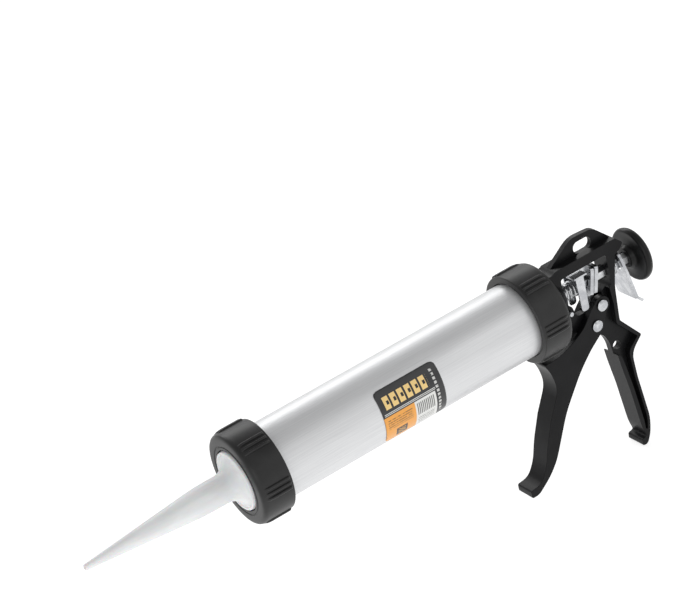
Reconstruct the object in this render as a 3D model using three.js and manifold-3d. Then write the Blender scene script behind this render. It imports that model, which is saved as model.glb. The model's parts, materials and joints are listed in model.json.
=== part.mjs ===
// Sausage-type caulking gun with an aluminium barrel, modelled as an assembly of its real pieces.
// Units are millimetres, +Z is up. The rod lies along X with the nozzle towards -X.
// Inside the assembly the rod's axis is Y = Z = 0, and the rear ring cap closes at X = CAP_FACE_X.
// The whole group is then shifted so that the origin is the centre of the pull knob's flat rear face.
import * as THREE from 'three';
import { mergeVertices } from 'three/addons/utils/BufferGeometryUtils.js';
import Module from 'manifold-3d';

const wasm = await Module();
wasm.setup();

// ---- Driving dimensions ------------------------------------------------------------------------
const GAP = 0.4;                 // running gap between neighbouring pieces

const BARREL_OD = 54;
const BARREL_WALL = 1.2;
const BARREL_LENGTH = 238;

const CAP_FACE_X = 24;           // outer face of the rear cap, where the frame's bell comes out
const CAP_LENGTH = 24;
const CAP_LIP = 3.4;             // thickness of the lip that closes the cap
const CAP_WALL = 5.1;            // from the bore to the plain panels
const CAP_OPENING_R = 21.8;
const CAP_EDGE_R = 4;
const RIB_HEIGHT = 1.0;
const RIB_WIDTH = 2.3;
const RIB_PITCH_DEG = 6.6;
const RIB_GROUPS = 6;
const RIBS_PER_GROUP = 3;

const THREAD_PITCH = 6;
const THREAD_R = 0.9;            // radius of the rolled round thread
const THREAD_TURNS = 1.5;
const THREAD_GAP = 0.8;

const FLANGE = 2.4;              // thickness of the flanges that the caps hold
const GASKET = 1.2;

const NOZZLE_LENGTH = 114;      // from the cap's face to the tip
const NOZZLE_RIM_R = 20;
const NOZZLE_ROOT_R = 9.8;
const NOZZLE_TIP_R = 2.0;
const NOZZLE_STRAIGHT = 28;      // the first part of the spout does not taper
const NOZZLE_WALL = 1.3;

const LABEL_LENGTH = 49;
const LABEL_HALF_ANGLE = 44;
const LABEL_FROM_CAP = 80;       // from the rear cap's rim to the label
const LABEL_THICKNESS = 0.3;

const FRAME_WIDTH = 16;
const WEB = 5.4;
const TAB_THICKNESS = 4;
const BEAM_TOP = 23.2;
const BELL_REAR_X = 36.2;
const BELL_REAR_R = 13;
const BELL_WALL = 3;

const ROD_FLATS = 8;
const ROD_GAP = 0.45;
const ROD_SETBACK = 12.1;        // from the barrel's front end back to the end of the rod

const KNOB_X = 99.5;             // front of the mushroom head
const KNOB_R = 20;
const KNOB_THICKNESS = 8.5;

const PIVOT = [57.1, -31.7];
const PUSHER = [64.7, -19];
const RIVET_R = 3;
const RIVET_HEAD_R = 4.3;
const RIVET_HEAD = 1.7;

const PLATE_THICKNESS = 3;
const PLATE_TILT = Math.atan(0.278);
const PLATE_AXIS_X = [61.1, 64.6];
const PLATE_TOP = 11.2;
const PLATE_TONGUE_Z = -17.5;

const RELEASE_X = 88.4;
const RELEASE_TILT = 0.16;
const RELEASE_THICKNESS = 2;
const RELEASE_WIDTH = 21;

const ROUND = 48;                // facets round a large turned part
const SMALL_ROUND = 20;          // facets round a pin

// ---- Derived dimensions ------------------------------------------------------------------------
const BARREL_R = BARREL_OD / 2;
const BARREL_BORE_R = BARREL_R - BARREL_WALL;
const CAP_BORE_R = BARREL_R + 0.5;
const CAP_R = CAP_BORE_R + CAP_WALL;
const FLANGE_R = CAP_BORE_R - 1;
const THREAD_CENTRE_R = BARREL_R - 0.2;
const REAR_CAP_RIM_X = CAP_FACE_X - CAP_LENGTH;
const BELL_FLANGE_X = CAP_FACE_X - CAP_LIP - GAP - FLANGE;
const BARREL_REAR_X = BELL_FLANGE_X - GAP;
const BARREL_FRONT_X = BARREL_REAR_X - BARREL_LENGTH;
const GASKET_X = BARREL_FRONT_X - GAP - GASKET;
const NOZZLE_FLANGE_X = GASKET_X - GAP - FLANGE;
const FRONT_CAP_FACE_X = NOZZLE_FLANGE_X - GAP - CAP_LIP;
const ROD_FRONT_X = BARREL_FRONT_X + ROD_SETBACK;
const ROD_CORNER_R = ROD_FLATS / 2 / Math.cos(Math.PI / 6);
const HALF = FRAME_WIDTH / 2;
const KNOB_REAR_X = KNOB_X + KNOB_THICKNESS;

// ---- Geometry helpers --------------------------------------------------------------------------
// A closed geometry with shared vertices, no empty triangles and its faces pointing out.
function welded(geometry) {
  const bare = geometry.clone();
  bare.deleteAttribute('normal');
  bare.deleteAttribute('uv');
  const merged = mergeVertices(bare, 1e-4);
  const position = merged.getAttribute('position');
  const index = [];
  let volume = 0;
  const a = new THREE.Vector3();
  const b = new THREE.Vector3();
  const c = new THREE.Vector3();
  for (let i = 0; i < merged.index.count; i += 3) {
    const [p, q, r] = [0, 1, 2].map((k) => merged.index.getX(i + k));
    if (p === q || q === r || r === p) continue;
    a.fromBufferAttribute(position, p);
    b.fromBufferAttribute(position, q);
    c.fromBufferAttribute(position, r);
    volume += a.dot(b.cross(c)) / 6;
    index.push(p, q, r);
  }
  if (volume < 0) index.reverse();
  merged.setIndex(index);
  return merged;
}

function solid(geometry) {
  const closed = welded(geometry);
  const vertProperties = new Float32Array(closed.getAttribute('position').array);
  const triVerts = new Uint32Array(closed.index.array);
  return new wasm.Manifold(new wasm.Mesh({ numProp: 3, vertProperties, triVerts }));
}

function geometryOf(manifold) {
  const mesh = manifold.getMesh();
  const geometry = new THREE.BufferGeometry();
  geometry.setAttribute('position', new THREE.BufferAttribute(new Float32Array(mesh.vertProperties), 3));
  geometry.setIndex(new THREE.BufferAttribute(new Uint32Array(mesh.triVerts), 1));
  return geometry;
}

// A body turned about X. The profile is a list of [x, radius]; it closes on the axis or on itself.
function turned(profile, segments = ROUND) {
  const points = profile.map(([x, r]) => new THREE.Vector2(r, x));
  const onAxis = profile[0][1] === 0 && profile[profile.length - 1][1] === 0;
  if (!onAxis) points.push(points[0].clone());
  const geometry = new THREE.LatheGeometry(points, segments);
  geometry.rotateZ(-Math.PI / 2);
  return geometry;
}

// An outline in the X-Z plane from corners [x, z] or [x, z, corner radius]. A corner's round is
// limited to just under half of its shorter side.
function outlineOf(corners) {
  const shape = new THREE.Shape();
  corners.forEach(([x, z, wanted = 0], i) => {
    const corner = new THREE.Vector2(x, z);
    const [beforeX, beforeZ] = corners[(i + corners.length - 1) % corners.length];
    const [afterX, afterZ] = corners[(i + 1) % corners.length];
    const before = new THREE.Vector2(beforeX, beforeZ).sub(corner);
    const after = new THREE.Vector2(afterX, afterZ).sub(corner);
    const radius = Math.min(wanted, 0.48 * before.length(), 0.48 * after.length());
    const start = corner.clone().add(before.setLength(radius));
    const end = corner.clone().add(after.setLength(radius));
    if (i === 0) shape.moveTo(start.x, start.y);
    else shape.lineTo(start.x, start.y);
    if (radius > 0) shape.quadraticCurveTo(x, z, end.x, end.y);
  });
  shape.closePath();
  return shape;
}

// A plate whose outline lies in X-Z, standing between two values of Y.
function plate(outline, yFrom, yTo, curveSegments = 4) {
  const depth = yTo - yFrom;
  const geometry = new THREE.ExtrudeGeometry(outline, { depth, bevelEnabled: false, curveSegments });
  geometry.rotateX(Math.PI / 2);
  geometry.translate(0, yTo, 0);
  return geometry;
}

// The same cut on both sides of the middle plane, from |y| = inner outwards.
function sideCuts(corners, inner) {
  const outer = FRAME_WIDTH;
  const near = solid(plate(outlineOf(corners), -outer, -inner));
  const far = solid(plate(outlineOf(corners), inner, outer));
  return near.add(far);
}

function pinAlongY([x, z], radius, yFrom, yTo, segments = SMALL_ROUND) {
  const geometry = new THREE.CylinderGeometry(radius, radius, yTo - yFrom, segments);
  geometry.translate(x, (yFrom + yTo) / 2, z);
  return geometry;
}

function box(x0, x1, y0, y1, z0, z1) {
  const geometry = new THREE.BoxGeometry(x1 - x0, y1 - y0, z1 - z0);
  geometry.translate((x0 + x1) / 2, (y0 + y1) / 2, (z0 + z1) / 2);
  return geometry;
}

// A wire that winds about X. Its end faces are square to the wire.
class HelixAboutX extends THREE.Curve {
  constructor(fromX, turns, pitch, radius) {
    super();
    Object.assign(this, { fromX, turns, pitch, radius });
  }

  getPoint(t, target = new THREE.Vector3()) {
    const angle = t * this.turns * 2 * Math.PI;
    const x = this.fromX + t * this.turns * this.pitch;
    return target.set(x, this.radius * Math.cos(angle), this.radius * Math.sin(angle));
  }
}

function coil(fromX, turns, pitch, radius, wireR, stepsPerTurn = 20, sides = 5) {
  const section = new THREE.Shape();
  for (let i = 0; i < sides; i += 1) {
    const angle = (i / sides) * 2 * Math.PI;
    const point = [wireR * Math.cos(angle), wireR * Math.sin(angle)];
    if (i === 0) section.moveTo(...point);
    else section.lineTo(...point);
  }
  section.closePath();
  const extrudePath = new HelixAboutX(fromX, turns, pitch, radius);
  const steps = Math.round(Math.abs(turns) * stepsPerTurn);
  return new THREE.ExtrudeGeometry(section, { steps, bevelEnabled: false, extrudePath });
}

// ---- Finishes ----------------------------------------------------------------------------------
const finish = (color, roughness, metalness) => ({ color, roughness, metalness });
const ANODISED = finish(0xc9cbcc, 0.42, 0.9);
const BLACK_NYLON = finish(0x26272a, 0.5, 0);
const BLACK_PAINT = finish(0x17181a, 0.35, 0.1);
const WHITE_PE = finish(0xe8eaec, 0.4, 0);
const ZINC = finish(0xc4c6c8, 0.3, 1);
const STEEL = finish(0xa9abae, 0.3, 1);
const RUBBER = finish(0x1b1b1b, 0.85, 0);
const LABEL_FILM = finish(0x202124, 0.4, 0);

// ---- Barrel ------------------------------------------------------------------------------------
// The rolled thread starts this far inside the tube's end, so its end stays on the wall.
const THREAD_INSET = 2.6;

function barrelTube() {
  const tube = solid(turned([
    [BARREL_FRONT_X, BARREL_BORE_R],
    [BARREL_FRONT_X, BARREL_R],
    [BARREL_REAR_X, BARREL_R],
    [BARREL_REAR_X, BARREL_BORE_R],
  ]));
  const rear = coil(BARREL_REAR_X - THREAD_INSET, -THREAD_TURNS, THREAD_PITCH, THREAD_CENTRE_R, THREAD_R);
  const front = coil(BARREL_FRONT_X + THREAD_INSET, THREAD_TURNS, THREAD_PITCH, THREAD_CENTRE_R, THREAD_R);
  return geometryOf(tube.add(solid(rear)).add(solid(front)));
}

function barrelLabel() {
  const innerR = BARREL_R + 0.3;
  const outerR = innerR + LABEL_THICKNESS;
  const middle = Math.PI;
  const half = THREE.MathUtils.degToRad(LABEL_HALF_ANGLE);
  const shape = new THREE.Shape();
  shape.absarc(0, 0, outerR, middle - half, middle + half, false);
  shape.absarc(0, 0, innerR, middle + half, middle - half, true);
  shape.closePath();
  const settings = { depth: LABEL_LENGTH, bevelEnabled: false, curveSegments: 16 };
  const geometry = new THREE.ExtrudeGeometry(shape, settings);
  // The section's own (x, y) becomes (Y, Z) and its depth runs along X.
  geometry.applyMatrix4(new THREE.Matrix4().makeBasis(
    new THREE.Vector3(0, 1, 0),
    new THREE.Vector3(0, 0, 1),
    new THREE.Vector3(1, 0, 0),
  ));
  geometry.translate(REAR_CAP_RIM_X - LABEL_FROM_CAP - LABEL_LENGTH, 0, 0);
  return geometry;
}

// ---- Ring caps ---------------------------------------------------------------------------------
// One moulding, used at both ends. towards = +1 closes at +X (rear), -1 closes at -X (front).
function capRib(angle, openX, towards) {
  const half = RIB_WIDTH / 2;
  const root = CAP_R - 1.2;
  const crest = CAP_R + RIB_HEIGHT;
  const x0 = 1.6;
  const x1 = CAP_LENGTH - 2.4;
  const slope = 3.2;
  const outline = new THREE.Shape();
  outline.moveTo(x0, root);
  outline.lineTo(x0, crest - 0.4);
  outline.lineTo(x0 + 0.5, crest);
  outline.lineTo(x1 - slope, crest);
  outline.lineTo(x1, root);
  outline.closePath();
  const rib = new THREE.ExtrudeGeometry(outline, { depth: RIB_WIDTH, bevelEnabled: false });
  rib.translate(0, 0, -half);
  // Outline x runs along the axis, outline y is radial and the depth is sideways.
  rib.applyMatrix4(new THREE.Matrix4().makeBasis(
    new THREE.Vector3(towards, 0, 0),
    new THREE.Vector3(0, 0, 1),
    new THREE.Vector3(0, -1, 0),
  ));
  rib.translate(openX, 0, 0);
  rib.rotateX(angle);
  return rib;
}

function ringCap(openX, towards) {
  const at = (x) => openX + towards * x;
  const edge = [0, 1, 2, 3].map((i) => {
    const angle = (i / 3) * (Math.PI / 2);
    const x = CAP_LENGTH - CAP_EDGE_R + CAP_EDGE_R * Math.sin(angle);
    return [at(x), CAP_R - CAP_EDGE_R + CAP_EDGE_R * Math.cos(angle)];
  });
  let cap = solid(turned([
    [at(0), CAP_BORE_R + 0.6],
    [at(0), CAP_R - 0.6],
    [at(0.6), CAP_R],
    ...edge,
    [at(CAP_LENGTH), CAP_OPENING_R + 1.2],
    [at(CAP_LENGTH - 1.2), CAP_OPENING_R],
    [at(CAP_LENGTH - CAP_LIP), CAP_OPENING_R],
    [at(CAP_LENGTH - CAP_LIP), CAP_BORE_R],
    [at(0.6), CAP_BORE_R],
  ]));
  for (let group = 0; group < RIB_GROUPS; group += 1) {
    for (let i = 0; i < RIBS_PER_GROUP; i += 1) {
      const offset = (i - (RIBS_PER_GROUP - 1) / 2) * RIB_PITCH_DEG;
      const angle = THREE.MathUtils.degToRad(30 + (group * 360) / RIB_GROUPS + offset);
      cap = cap.add(solid(capRib(angle, openX, towards)));
    }
  }
  const threadEnd = towards > 0 ? BARREL_REAR_X - THREAD_INSET : BARREL_FRONT_X + THREAD_INSET;
  const reach = Math.abs(threadEnd - openX) + THREAD_PITCH / 2;
  const groove = coil(
    threadEnd + towards * 0.6,
    -towards * (reach + 0.6) / THREAD_PITCH,
    THREAD_PITCH,
    THREAD_CENTRE_R,
    THREAD_R + THREAD_GAP,
  );
  const phase = (-towards * 0.6 / THREAD_PITCH) * 2 * Math.PI;
  groove.rotateX(-phase);
  return geometryOf(cap.subtract(solid(groove)));
}

// ---- Nozzle ------------------------------------------------------------------------------------
// Radius of the cone and its concave flare, at a distance in front of the cap's face.
function nozzleRadius(distance) {
  const FLARE = 12;
  const along = Math.max(0, distance - NOZZLE_STRAIGHT) / (NOZZLE_LENGTH - NOZZLE_STRAIGHT);
  const cone = THREE.MathUtils.lerp(NOZZLE_ROOT_R, NOZZLE_TIP_R, along);
  if (distance >= FLARE) return cone;
  const share = 1 - distance / FLARE;
  return cone + (NOZZLE_RIM_R - 1.5 - NOZZLE_ROOT_R) * share ** 2.4;
}

function nozzle() {
  const face = FRONT_CAP_FACE_X;
  const outside = [0.8, 2.2, 4.2, 6.8, 9.4, 12.4, NOZZLE_STRAIGHT, 60, NOZZLE_LENGTH].map((d) => [face - d, nozzleRadius(d)]);
  const inside = [NOZZLE_LENGTH, 60, NOZZLE_STRAIGHT, 12.4, 8.4, 4.6, 1.4].map((d) => {
    const x = d === NOZZLE_LENGTH ? face - d : face - d + 0.8;
    return [x, Math.max(nozzleRadius(d) - NOZZLE_WALL, 1.0)];
  });
  return turned([
    [NOZZLE_FLANGE_X + FLANGE, FLANGE_R],
    [NOZZLE_FLANGE_X, FLANGE_R],
    [NOZZLE_FLANGE_X, CAP_OPENING_R - GAP - 0.2],
    [face + 0.6, CAP_OPENING_R - GAP - 0.2],
    [face - 0.8, NOZZLE_RIM_R],
    ...outside,
    ...inside,
    [NOZZLE_FLANGE_X + FLANGE, NOZZLE_RIM_R - 2.5],
  ], 36);
}

function nozzleGasket() {
  return turned([
    [GASKET_X, NOZZLE_RIM_R + 1],
    [GASKET_X, BARREL_R],
    [GASKET_X + GASKET, BARREL_R],
    [GASKET_X + GASKET, NOZZLE_RIM_R + 1],
  ], 48);
}

// ---- Frame -------------------------------------------------------------------------------------
const FRAME_FRONT_X = CAP_FACE_X + 0.8;
const FRAME_OUTLINE = [
  [FRAME_FRONT_X, 14], [FRAME_FRONT_X, 21.6], [32, 21.6, 3], [55.3, 36.8, 6], [74.5, 35.4, 4],
  [92.4, 17.4, 2], [88.6, 13.4, 1], [84.2, 12.2, 1.5], [81.4, 1.5, 5], [78.4, -10.8, 4],
  [77.3, -22.9], [76.1, -37.1, 1.5], [91, -56.3, 1.5], [80.1, -66, 6], [80.3, -86],
  [83.1, -122, 6], [80.3, -134, 5], [76.2, -140.8, 2.5], [71.8, -140.2, 1.6], [72.3, -135.4, 1.2],
  [76.9, -134.6, 1.5], [74.5, -126, 4], [71.6, -92], [69, -72], [67.2, -52, 4],
  [63, -43, 4], [53.4, -41.5, 6], [43.9, -32, 6], [34.6, -27], [FRAME_FRONT_X + 1.4, -19],
];
const WINDOW_FRONT_X = BELL_REAR_X + 0.8;
const WINDOW = [
  [WINDOW_FRONT_X, 15.4, 2], [76.4, 15.4, 2], [76.4, -8, 3], [70, -12.5, 2], [69.2, -22.6, 2],
  [62.4, -23.4], [56.5, -20.6, 3], [46.3, -20.4, 2], [44, -10.6, 2], [WINDOW_FRONT_X, -9.6, 2],
];
// Clearance for the trigger's cheeks, the spur's hollow and the hollow down the handle's side.
const SIDE_HOLLOW = [
  [20, -7.5], [73.6, -7.5, 2], [74.3, -22.9], [73.1, -37.6], [73.9, -39.4], [87.6, -56, 1],
  [77.8, -63.8, 4], [78.2, -86], [80.8, -121, 4], [79.1, -129.5, 2], [77.4, -129, 1],
  [77.5, -121], [75, -92], [72.4, -72], [70.9, -63, 3], [62.4, -60], [22.4, -60],
];
const HANGING_HOLE = { x: 63.6, z: 27.6, length: 15.5, height: 8.8 };
const WEB_HOLE = [72.7, -57.5];
const WEB_HOLE_R = 3.5;
const BUSH_R = ROD_CORNER_R + 3.4;
const SPRING_SEAT_X = 81.5;
const SPRING_WIRE = 0.65;
const SPRING_R = ROD_CORNER_R + GAP + SPRING_WIRE;
const SPRING_OUTER_R = SPRING_R + SPRING_WIRE;
const SPRING_SEAT_R = SPRING_OUTER_R + 0.9;

function slot({ x, z, length, height }) {
  const r = height / 2;
  const reach = length / 2 - r;
  const shape = new THREE.Shape();
  shape.absarc(x + reach, z, r, -Math.PI / 2, Math.PI / 2, false);
  shape.absarc(x - reach, z, r, Math.PI / 2, (3 * Math.PI) / 2, false);
  shape.closePath();
  return shape;
}

// The bell that the rear cap holds: a flange, a neck through the cap's opening and a cone behind it.
function bell() {
  const neckR = CAP_OPENING_R - GAP;
  const coneX = CAP_FACE_X + GAP;
  return turned([
    [BELL_FLANGE_X, FLANGE_R],
    [BELL_FLANGE_X + FLANGE, FLANGE_R],
    [BELL_FLANGE_X + FLANGE, neckR],
    [coneX, neckR],
    [coneX + 3, neckR - 1.2],
    [BELL_REAR_X - 1, BELL_REAR_R],
    [BELL_REAR_X, BELL_REAR_R - 1],
    [BELL_REAR_X, BUSH_R],
    [BELL_REAR_X - 4.5, BUSH_R],
    [coneX + 2, neckR - BELL_WALL - 1.2],
    [BELL_FLANGE_X, neckR - BELL_WALL],
  ], 48);
}

function frameCasting() {
  let casting = solid(plate(outlineOf(FRAME_OUTLINE), -HALF, HALF));
  casting = casting.subtract(solid(plate(outlineOf(WINDOW), -HALF - 1, HALF + 1)));
  casting = casting.subtract(sideCuts(SIDE_HOLLOW, WEB / 2));
  const tabSides = [[20, BEAM_TOP], [100, BEAM_TOP], [100, 60], [20, 60]];
  casting = casting.subtract(sideCuts(tabSides, TAB_THICKNESS / 2));
  // Behind the hanging hole the beam is lower, so that a hook can pass.
  const hookWay = [[52, BEAM_TOP - 4.4], [76, BEAM_TOP - 4.4], [78, BEAM_TOP + 1], [50, BEAM_TOP + 1]];
  casting = casting.subtract(solid(plate(outlineOf(hookWay), TAB_THICKNESS / 2, HALF + 1)));
  // The plate is cut back to inside the bell's wall before the bell is joined to it.
  const insideWall = 1.3;
  const cavity = turned([
    [BELL_FLANGE_X - 1, 0],
    [BELL_FLANGE_X - 1, CAP_OPENING_R - GAP - BELL_WALL + insideWall],
    [CAP_FACE_X + GAP + 2, CAP_OPENING_R - GAP - BELL_WALL - 1.2 + insideWall],
    [BELL_REAR_X - 4.5, BUSH_R + insideWall],
    [BELL_REAR_X + 2, BUSH_R + insideWall],
    [BELL_REAR_X + 2, 0],
  ], 32);
  casting = casting.subtract(solid(cavity)).add(solid(bell()));
  const rodHoleR = ROD_CORNER_R + ROD_GAP;
  const rodHole = turned([
    [60, 0],
    [60, rodHoleR],
    [SPRING_SEAT_X, rodHoleR],
    [SPRING_SEAT_X, SPRING_SEAT_R],
    [96, SPRING_SEAT_R],
    [96, 0],
  ], SMALL_ROUND);
  const cuts = [
    rodHole,
    plate(slot(HANGING_HOLE), -HALF, HALF, 6),
    pinAlongY(WEB_HOLE, WEB_HOLE_R, -HALF, HALF),
    pinAlongY(PIVOT, RIVET_R + GAP, -HALF, HALF),
    pinAlongY(STOP_PIN, STOP_PIN_R + GAP, -HALF, HALF, 12),
  ];
  for (const cut of cuts) casting = casting.subtract(solid(cut));
  return geometryOf(casting);
}

// ---- Small pieces held by the frame ------------------------------------------------------------
const STOP_PIN = [40.6, -14.6];
const STOP_PIN_R = 1.7;

function rodBush() {
  const outer = BUSH_R - 0.35;
  const bore = ROD_CORNER_R + ROD_GAP;
  return turned([
    [BELL_REAR_X - 5, bore],
    [BELL_REAR_X - 5, outer],
    [BELL_REAR_X, outer],
    [BELL_REAR_X, bore],
  ], 32);
}

function rivet(centre, width, headR) {
  const half = width / 2;
  const shank = solid(pinAlongY(centre, RIVET_R, -half - 0.5, half + 0.5));
  const low = half + GAP;
  const heads = [-1, 1].map((s) => {
    const profile = [
      new THREE.Vector2(0, 0),
      new THREE.Vector2(headR, 0),
      new THREE.Vector2(headR, RIVET_HEAD * 0.45),
      new THREE.Vector2(headR * 0.8, RIVET_HEAD * 0.85),
      new THREE.Vector2(headR * 0.35, RIVET_HEAD),
      new THREE.Vector2(0, RIVET_HEAD),
    ];
    const head = new THREE.LatheGeometry(profile, SMALL_ROUND);
    if (s < 0) head.rotateX(Math.PI);
    head.translate(centre[0], s * low, centre[1]);
    return solid(head);
  });
  return geometryOf(shank.add(heads[0]).add(heads[1]));
}

function stopPin() {
  const half = HALF - 1.7;
  return pinAlongY(STOP_PIN, STOP_PIN_R, -half, half, 12);
}

function returnSpring() {
  const start = BELL_REAR_X + GAP + SPRING_WIRE;
  const end = PLATE_AXIS_X[0] - PLATE_THICKNESS - SPRING_R * Math.tan(PLATE_TILT) - SPRING_WIRE;
  const turns = 6;
  return coil(start, turns, (end - start) / turns, SPRING_R, SPRING_WIRE, 12, 6);
}

function releaseSpring() {
  const start = SPRING_SEAT_X + GAP + SPRING_WIRE;
  const end = RELEASE_X - RELEASE_THICKNESS / 2 - SPRING_R * RELEASE_TILT - 2 * SPRING_WIRE;
  const turns = 2;
  return coil(start, turns, (end - start) / turns, SPRING_R, SPRING_WIRE, 12, 6);
}

// ---- Rod, piston and knob ----------------------------------------------------------------------
const PISTON_THICKNESS = 9;
const PISTON_R = BARREL_BORE_R - 0.9;
const PISTON_SKIRT = 4;
const PISTON_SCREW_R = 3;
const SEAL_R = BARREL_BORE_R - 0.35;
const ROD_FIT = 0.35;            // between the rod's corners and what is pressed on it

function pushRod() {
  const length = KNOB_X - GAP - ROD_FRONT_X;
  const rod = new THREE.CylinderGeometry(ROD_CORNER_R, ROD_CORNER_R, length, 6);
  rod.rotateZ(Math.PI / 2);
  rod.translate(ROD_FRONT_X + length / 2, 0, 0);
  return rod;
}

function piston() {
  const front = ROD_FRONT_X - PISTON_THICKNESS + 3;
  const rear = front + PISTON_THICKNESS;
  const grooveR = PISTON_R - 2.1;
  const bore = ROD_CORNER_R + ROD_FIT;
  const screwHole = PISTON_SCREW_R + GAP;
  return turned([
    [front, screwHole],
    [front, PISTON_R - 1.3],
    [front + 3, PISTON_R],
    [front + 3.4, grooveR],
    [front + 6, grooveR],
    [front + 6.4, PISTON_R],
    [rear + PISTON_SKIRT, PISTON_R],
    [rear + PISTON_SKIRT, PISTON_R - 2.5],
    [rear, PISTON_R - 2.9],
    [rear, bore],
    [ROD_FRONT_X - GAP, bore],
    [ROD_FRONT_X - GAP, screwHole],
  ], 36);
}

function pistonSeal() {
  const front = ROD_FRONT_X - PISTON_THICKNESS + 3;
  const innerR = PISTON_R - 1.7;
  return turned([
    [front + 3.7, innerR],
    [front + 3.7, SEAL_R - 0.4],
    [front + 4.7, SEAL_R],
    [front + 5.7, SEAL_R - 0.4],
    [front + 5.7, innerR],
  ], 36);
}

function pistonScrew() {
  const face = ROD_FRONT_X - PISTON_THICKNESS + 3 - ROD_FIT;
  const head = new THREE.CylinderGeometry(6.5, 6.5, 4, 6);
  head.rotateZ(Math.PI / 2);
  head.translate(face - 2, 0, 0);
  const shank = turned([
    [face - 1, 0],
    [face - 1, PISTON_SCREW_R],
    [ROD_FRONT_X - ROD_FIT, PISTON_SCREW_R],
    [ROD_FRONT_X - ROD_FIT, 0],
  ], 16);
  return geometryOf(solid(head).add(solid(shank)));
}

function pistonWasher() {
  const start = ROD_FRONT_X + 3.6;
  const thickness = 1.6;
  const outer = 12;
  return turned([
    [start, ROD_CORNER_R + ROD_FIT],
    [start, outer],
    [start + thickness, outer],
    [start + thickness, ROD_CORNER_R + ROD_FIT],
  ], 32);
}

function pullKnob() {
  const bossFront = KNOB_X - 3.2;
  const bossR = ROD_CORNER_R + 2.8;
  const bore = ROD_CORNER_R + ROD_FIT;
  return turned([
    [bossFront, bore],
    [bossFront, bossR],
    [KNOB_X, bossR + 1.2],
    [KNOB_X + 1.2, KNOB_R - 5],
    [KNOB_X + 0.6, KNOB_R - 2.2],
    [KNOB_X + 1.4, KNOB_R - 0.6],
    [KNOB_REAR_X - 4.7, KNOB_R],
    [KNOB_REAR_X - 2.3, KNOB_R - 1.2],
    [KNOB_REAR_X - 0.6, KNOB_R - 4.5],
    [KNOB_REAR_X, KNOB_R - 9],
    [KNOB_REAR_X, 0],
    [KNOB_X, 0],
    [KNOB_X, bore],
  ], 48);
}

// ---- Trigger -----------------------------------------------------------------------------------
const TRIGGER_OUTLINE = [
  [58.4, -15.6], [53.5, -20, 3], [46.7, -28.2, 5], [33, -35.2, 8], [19.8, -38.8, 6], [8.5, -38.6, 3],
  [12.5, -47, 6], [14.8, -61, 10], [3.6, -80], [-4.6, -98, 10], [-9.3, -113, 8], [-16.3, -122.6, 6],
  [-25.8, -123.6, 1.2], [-26.1, -129.4, 1.5], [-19.9, -129.6, 4], [-7.6, -121, 8], [0.7, -111.8, 8],
  [7.5, -99], [17.3, -81, 8], [35.7, -58, 8], [47.7, -46.9, 5], [59.8, -38.4, 3], [63, -33], [68.4, -22],
];
const TRIGGER_CHANNEL = [
  [30.8, -30], [31.3, -38.6, 4], [18.7, -42.4, 3], [18, -61, 8], [7, -80], [-1, -98, 8], [-5.9, -111, 4],
  [-1.5, -118, 2], [14.9, -108], [72.9, -70], [76.9, -50], [75.8, -30],
];
const CHEEK_GAP = WEB / 2 + 0.5;  // half of the slot between the trigger's cheeks
const CHANNEL_HALF = 4.8;
const PUSHER_BOSS_R = 6.6;
const PIVOT_BOSS_R = 6.2;

function triggerLever() {
  let lever = solid(plate(outlineOf(TRIGGER_OUTLINE), -HALF, HALF));
  lever = lever.add(solid(pinAlongY(PUSHER, PUSHER_BOSS_R, -HALF, HALF, 32)));
  lever = lever.add(solid(pinAlongY(PIVOT, PIVOT_BOSS_R, -HALF, HALF, 32)));
  const slotForWeb = [[20, -5], [80, -5], [80, -47.6], [28, -47.6], [28, -30]];
  const cuts = [
    plate(outlineOf(TRIGGER_CHANNEL), -CHANNEL_HALF, CHANNEL_HALF),
    plate(outlineOf(slotForWeb), -CHEEK_GAP, CHEEK_GAP),
    pinAlongY(PIVOT, RIVET_R + GAP, -HALF - 1, HALF + 1),
    pinAlongY(PUSHER, RIVET_R + GAP, -HALF - 1, HALF + 1),
  ];
  for (const cut of cuts) lever = lever.subtract(solid(cut));
  return geometryOf(lever);
}

// ---- Drive: grip plates and the carrier of the return spring ------------------------------------
function tilted(geometry, axisX, tilt) {
  geometry.rotateY(tilt);
  geometry.translate(axisX, 0, 0);
  return geometry;
}

// The plate's outline lies in Y-Z; it is drawn in (x, y) = (Y, Z) and given its thickness along X.
function crossPlate(corners, thickness) {
  const shape = outlineOf(corners);
  const settings = { depth: thickness, bevelEnabled: false, curveSegments: 5 };
  const geometry = new THREE.ExtrudeGeometry(shape, settings);
  geometry.translate(0, 0, -thickness / 2);
  geometry.applyMatrix4(new THREE.Matrix4().makeBasis(
    new THREE.Vector3(0, 1, 0),
    new THREE.Vector3(0, 0, 1),
    new THREE.Vector3(1, 0, 0),
  ));
  return geometry;
}

function throughRod(fromX, toX, clearance) {
  const r = ROD_CORNER_R + clearance;
  return turned([[fromX, 0], [fromX, r], [toX, r], [toX, 0]], SMALL_ROUND);
}

function gripPlate(axisX) {
  const half = HALF - 0.3;
  const tongue = CHEEK_GAP - 0.4;
  const shoulder = -9;
  const outline = [
    [-half, PLATE_TOP, 3], [-half, shoulder, 2], [-tongue, shoulder - 1], [-tongue, PLATE_TONGUE_Z, 1],
    [tongue, PLATE_TONGUE_Z, 1], [tongue, shoulder - 1], [half, shoulder, 2], [half, PLATE_TOP, 3],
  ];
  const body = solid(tilted(crossPlate(outline, PLATE_THICKNESS), axisX, PLATE_TILT));
  return geometryOf(body.subtract(solid(throughRod(axisX - 6, axisX + 6, 0.75))));
}

const CARRIER = { front: 47.5, rear: 58.6, top: 10.2, sheet: 1.4, legRear: 55.6, foot: -16.6 };

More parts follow.
